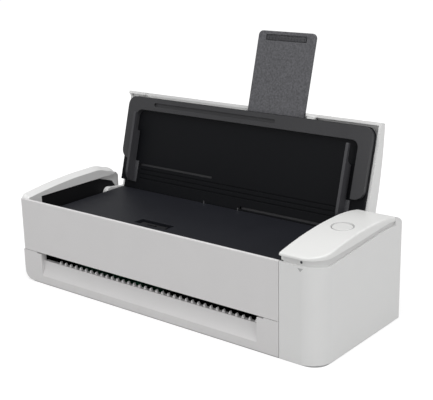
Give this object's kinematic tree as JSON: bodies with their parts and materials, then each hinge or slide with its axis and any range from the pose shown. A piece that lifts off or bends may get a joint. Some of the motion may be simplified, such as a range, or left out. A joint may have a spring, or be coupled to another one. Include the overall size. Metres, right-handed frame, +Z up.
{
  "type": "sheet-fed document scanner",
  "caption": "Compact sheet-fed document scanner with a hinged feed lid, sliding side guides, swinging paper support, inner rollers and a round scan button.",
  "frame": {"origin": "centre of the body's underside, on the surface it stands on", "axes": "+X to the right along the body, +Y to the back, +Z up"},
  "size_m": [0.296, 0.1566, 0.2019],
  "materials": {
    "shell_white": "satin",
    "shell_grey": "satin",
    "front_white": "satin",
    "black_plastic": "matte",
    "dark_plastic": "matte",
    "charcoal": "fine texture",
    "rubber": "matte",
    "steel": "satin",
    "gear_white": "satin",
    "board_green": "satin",
    "scan_glass": "clear",
    "lamp": "smooth",
    "metal_port": "satin"
  },
  "bodies": {
    "body": {"base_chassis": "black_plastic", "rubber_feet": "rubber", "housing_screws": "steel", "front_upper_panel": "front_white", "front_lower_panel": "front_white", "slot_comb": "front_white", "left_side_cover": "shell_white", "right_housing": "shell_white", "control_panel": "shell_white", "panel_trim": "shell_grey", "lamp_lens": "lamp", "rear_cover": "shell_white", "usb_socket": "metal_port", "power_inlet": "dark_plastic", "hinge_pins": "steel", "main_board": "board_green", "panel_board": "board_green", "board_posts": "dark_plastic", "paper_deck": "dark_plastic", "lower_paper_guide": "black_plastic", "upper_paper_guide": "black_plastic", "lower_scan_unit": "black_plastic", "upper_scan_unit": "black_plastic", "lower_scan_glass": "scan_glass", "upper_scan_glass": "scan_glass", "shaft_bushes": "gear_white", "drive_motor": "steel", "motor_bracket": "dark_plastic", "button_dome": "rubber"},
    "deck_latch_body": {"deck_latch": "black_plastic"},
    "button": {"scan_button": "shell_white"},
    "pick_roller": {"pick_shaft": "steel", "pick_tyres": "rubber", "pick_gear": "gear_white"},
    "rear_feed_roller": {"rear_feed_shaft": "steel", "rear_feed_tyres": "rubber", "rear_feed_gear": "gear_white"},
    "front_feed_roller": {"front_feed_shaft": "steel", "front_feed_tyres": "rubber", "front_feed_gear": "gear_white"},
    "separation_roller": {"separation_axle": "steel", "separation_tyre": "rubber"},
    "rear_pinch_roller": {"rear_pinch_axle": "steel", "rear_pinch_tyres": "rubber"},
    "front_pinch_roller": {"front_pinch_axle": "steel", "front_pinch_tyres": "rubber"},
    "small_idler": {"idler_gear_small": "gear_white"},
    "large_idler": {"idler_gear_large": "gear_white"},
    "pinion": {"motor_pinion": "steel"},
    "lid": {"lid_shell": "shell_white", "lid_liner": "dark_plastic", "extension_pivot": "steel"},
    "left_paper_guide": {"left_guide": "charcoal"},
    "right_paper_guide": {"right_guide": "charcoal"},
    "rack_pinion": {"guide_pinion": "gear_white"},
    "extension": {"extension_plate": "charcoal"}
  },
  "joints": [
    {"name": "lid_hinge", "type": "hinge", "parent": "body", "child": "lid", "pos_m": [0, 0.0378, 0.0544], "axis": [-1, 0, 0], "range_deg": [-105.5, 20.3]},
    {"name": "extension_swing", "type": "hinge", "parent": "lid", "child": "extension", "pos_m": [-0.006, 0.06741, 0.09081], "axis": [0, -0.9636, 0.2672], "range_deg": [0, 90]},
    {"name": "left_guide_slide", "type": "slide", "parent": "lid", "child": "left_paper_guide", "axis": [1, 0, 0], "range_m": [0, 0.083]},
    {"name": "right_guide_slide", "type": "slide", "parent": "lid", "child": "right_paper_guide", "axis": [-1, 0, 0], "range_m": [0, 0.083]},
    {"name": "rack_pinion_turn", "type": "hinge", "parent": "lid", "child": "rack_pinion", "pos_m": [-0.016, 0.06116, 0.06867], "axis": [0, -0.9636, 0.2672], "range_deg": [-595, 0]},
    {"name": "button_press", "type": "slide", "parent": "body", "child": "button", "axis": [0, 0, -1], "range_m": [0, 0.001], "stiffness_N_per_m": 600, "springref_m": -0.0005, "deforming": ["button_dome"]},
    {"name": "deck_latch_slide", "type": "slide", "parent": "body", "child": "deck_latch_body", "axis": [0, 1, 0], "range_m": [0, 0.0025], "stiffness_N_per_m": 250, "springref_m": -0.0005},
    {"name": "rear_feed_spin", "type": "hinge", "parent": "body", "child": "rear_feed_roller", "pos_m": [0, 0.00297, 0.0272], "axis": [1, 0, 0], "continuous": true},
    {"name": "front_feed_spin", "type": "hinge", "parent": "body", "child": "front_feed_roller", "pos_m": [0, -0.03303, 0.02135], "axis": [1, 0, 0], "continuous": true},
    {"name": "pick_spin", "type": "hinge", "parent": "body", "child": "pick_roller", "pos_m": [0, 0.02161, 0.02617], "axis": [1, 0, 0], "continuous": true},
    {"name": "small_idler_spin", "type": "hinge", "parent": "body", "child": "small_idler", "pos_m": [0, 0.01187, 0.01915], "axis": [1, 0, 0], "continuous": true},
    {"name": "large_idler_spin", "type": "hinge", "parent": "body", "child": "large_idler", "pos_m": [0, -0.01392, 0.01746], "axis": [1, 0, 0], "continuous": true},
    {"name": "motor_pinion_spin", "type": "hinge", "parent": "body", "child": "pinion", "pos_m": [0, -0.01457, 0.03594], "axis": [1, 0, 0], "continuous": true},
    {"name": "separation_spin", "type": "hinge", "parent": "body", "child": "separation_roller", "pos_m": [0, 0.01865, 0.04438], "axis": [1, 0, 0], "continuous": true},
    {"name": "rear_pinch_spin", "type": "hinge", "parent": "body", "child": "rear_pinch_roller", "pos_m": [0, 0.00113, 0.0385], "axis": [1, 0, 0], "continuous": true},
    {"name": "front_pinch_spin", "type": "hinge", "parent": "body", "child": "front_pinch_roller", "pos_m": [0, -0.03487, 0.03266], "axis": [1, 0, 0], "continuous": true}
  ],
  "couplings": [
    {"joint": "right_guide_slide", "follows": "left_guide_slide", "ratio": 1},
    {"joint": "rack_pinion_turn", "follows": "left_guide_slide", "rad_per_m": -125},
    {"joint": "small_idler_spin", "follows": "rear_feed_spin", "ratio": -1},
    {"joint": "pick_spin", "follows": "rear_feed_spin", "ratio": 1},
    {"joint": "large_idler_spin", "follows": "rear_feed_spin", "ratio": -0.44444},
    {"joint": "front_feed_spin", "follows": "rear_feed_spin", "ratio": 1},
    {"joint": "motor_pinion_spin", "follows": "rear_feed_spin", "ratio": 1.2}
  ]
}
